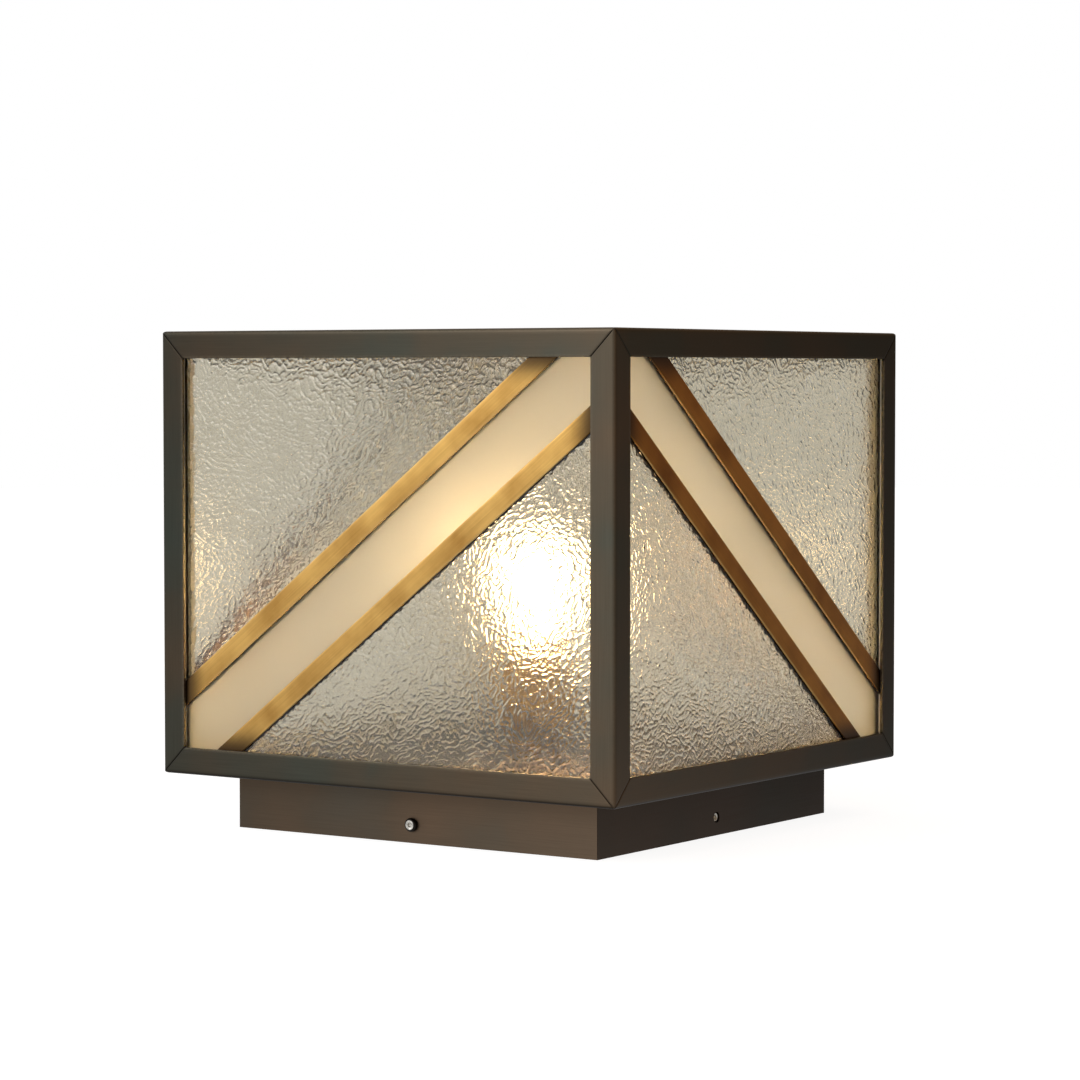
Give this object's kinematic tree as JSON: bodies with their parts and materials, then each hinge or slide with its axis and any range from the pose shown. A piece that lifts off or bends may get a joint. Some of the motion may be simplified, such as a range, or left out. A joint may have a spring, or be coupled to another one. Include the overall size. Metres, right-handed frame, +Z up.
{
  "type": "pillar light",
  "caption": "Square bronze pillar lantern with rippled glass, a diagonal opal band between brass cames on each face, and a skirt that drops over a bolted tray.",
  "frame": {"origin": "centre of the skirt's foot, on the pillar's top", "axes": "+Z up; -Y out of the front face, whose diagonal band rises towards +X"},
  "size_m": [0.3, 0.3, 0.2776],
  "materials": {
    "bronze_frame": "dark patina, rubbed",
    "bronze_skirt": "dark patina, brushed",
    "bronze_sheet": "dark patina",
    "came_brass": "antiqued, brushed",
    "ripple_glass": "rippled outside",
    "opal_glass": "opal, satin",
    "black_rubber": "matt",
    "clear_silicone": "extruded, milky",
    "satin_aluminium": "anodised",
    "zinc_steel": "zinc plated",
    "bright_steel": "stainless",
    "holder_brass": "lacquered",
    "white_ceramic": "unglazed",
    "nickel": "nickel plated",
    "white_plastic": "moulded",
    "lead_plastic": "extruded",
    "bulb_glass": "frosted, lit",
    "black_insulator": "moulded"
  },
  "bodies": {
    "base": {"mounting_tray": "zinc_steel", "tray_nuts": "bright_steel", "cable_grommet": "black_rubber", "lamp_bridge": "bronze_sheet", "lamp_tube": "holder_brass", "lock_nuts": "holder_brass", "lampholder_cap": "holder_brass", "lampholder_sleeve": "holder_brass", "lampholder_insert": "white_ceramic", "screw_shell": "nickel", "terminal_block": "white_plastic", "lamp_leads": "lead_plastic"},
    "lantern": {"post_front_right": "bronze_frame", "post_back_right": "bronze_frame", "post_back_left": "bronze_frame", "post_front_left": "bronze_frame", "top_rail_front": "bronze_frame", "bottom_rail_front": "bronze_frame", "skirt_front": "bronze_skirt", "upper_glass_front": "ripple_glass", "lower_glass_front": "ripple_glass", "opal_band_front": "opal_glass", "upper_came_front": "came_brass", "lower_came_front": "came_brass", "top_rail_right": "bronze_frame", "bottom_rail_right": "bronze_frame", "skirt_right": "bronze_skirt", "upper_glass_right": "ripple_glass", "lower_glass_right": "ripple_glass", "opal_band_right": "opal_glass", "upper_came_right": "came_brass", "lower_came_right": "came_brass", "top_rail_back": "bronze_frame", "bottom_rail_back": "bronze_frame", "skirt_back": "bronze_skirt", "upper_glass_back": "ripple_glass", "lower_glass_back": "ripple_glass", "opal_band_back": "opal_glass", "upper_came_back": "came_brass", "lower_came_back": "came_brass", "top_rail_left": "bronze_frame", "bottom_rail_left": "bronze_frame", "skirt_left": "bronze_skirt", "upper_glass_left": "ripple_glass", "lower_glass_left": "ripple_glass", "opal_band_left": "opal_glass", "upper_came_left": "came_brass", "lower_came_left": "came_brass", "roof_sheet": "bronze_sheet", "floor_pan": "bronze_sheet", "clamp_nuts": "bright_steel", "glazing_tape": "clear_silicone", "glazing_beads": "satin_aluminium"},
    "bulb": {"bulb_globe": "bulb_glass", "bulb_cap": "nickel", "bulb_contact": "black_insulator"},
    "front_clamp": {"clamp_screw_front": "bright_steel"},
    "right_clamp": {"clamp_screw_right": "bright_steel"},
    "back_clamp": {"clamp_screw_back": "bright_steel"},
    "left_clamp": {"clamp_screw_left": "bright_steel"}
  },
  "joints": [
    {"name": "lantern_lift", "type": "slide", "parent": "base", "child": "lantern", "axis": [0, 0, 1], "range_m": [0, 0.18]},
    {"name": "bulb_unscrew", "type": "slide", "parent": "base", "child": "bulb", "axis": [0, 0, 1], "range_m": [0, 0.035]},
    {"name": "front_clamp_screw", "type": "slide", "parent": "lantern", "child": "front_clamp", "axis": [0, -1, 0], "range_m": [0, 0.004]},
    {"name": "right_clamp_screw", "type": "slide", "parent": "lantern", "child": "right_clamp", "axis": [1, 0, 0], "range_m": [0, 0.004]},
    {"name": "back_clamp_screw", "type": "slide", "parent": "lantern", "child": "back_clamp", "axis": [0, 1, 0], "range_m": [0, 0.004]},
    {"name": "left_clamp_screw", "type": "slide", "parent": "lantern", "child": "left_clamp", "axis": [-1, 0, 0], "range_m": [0, 0.004]}
  ]
}
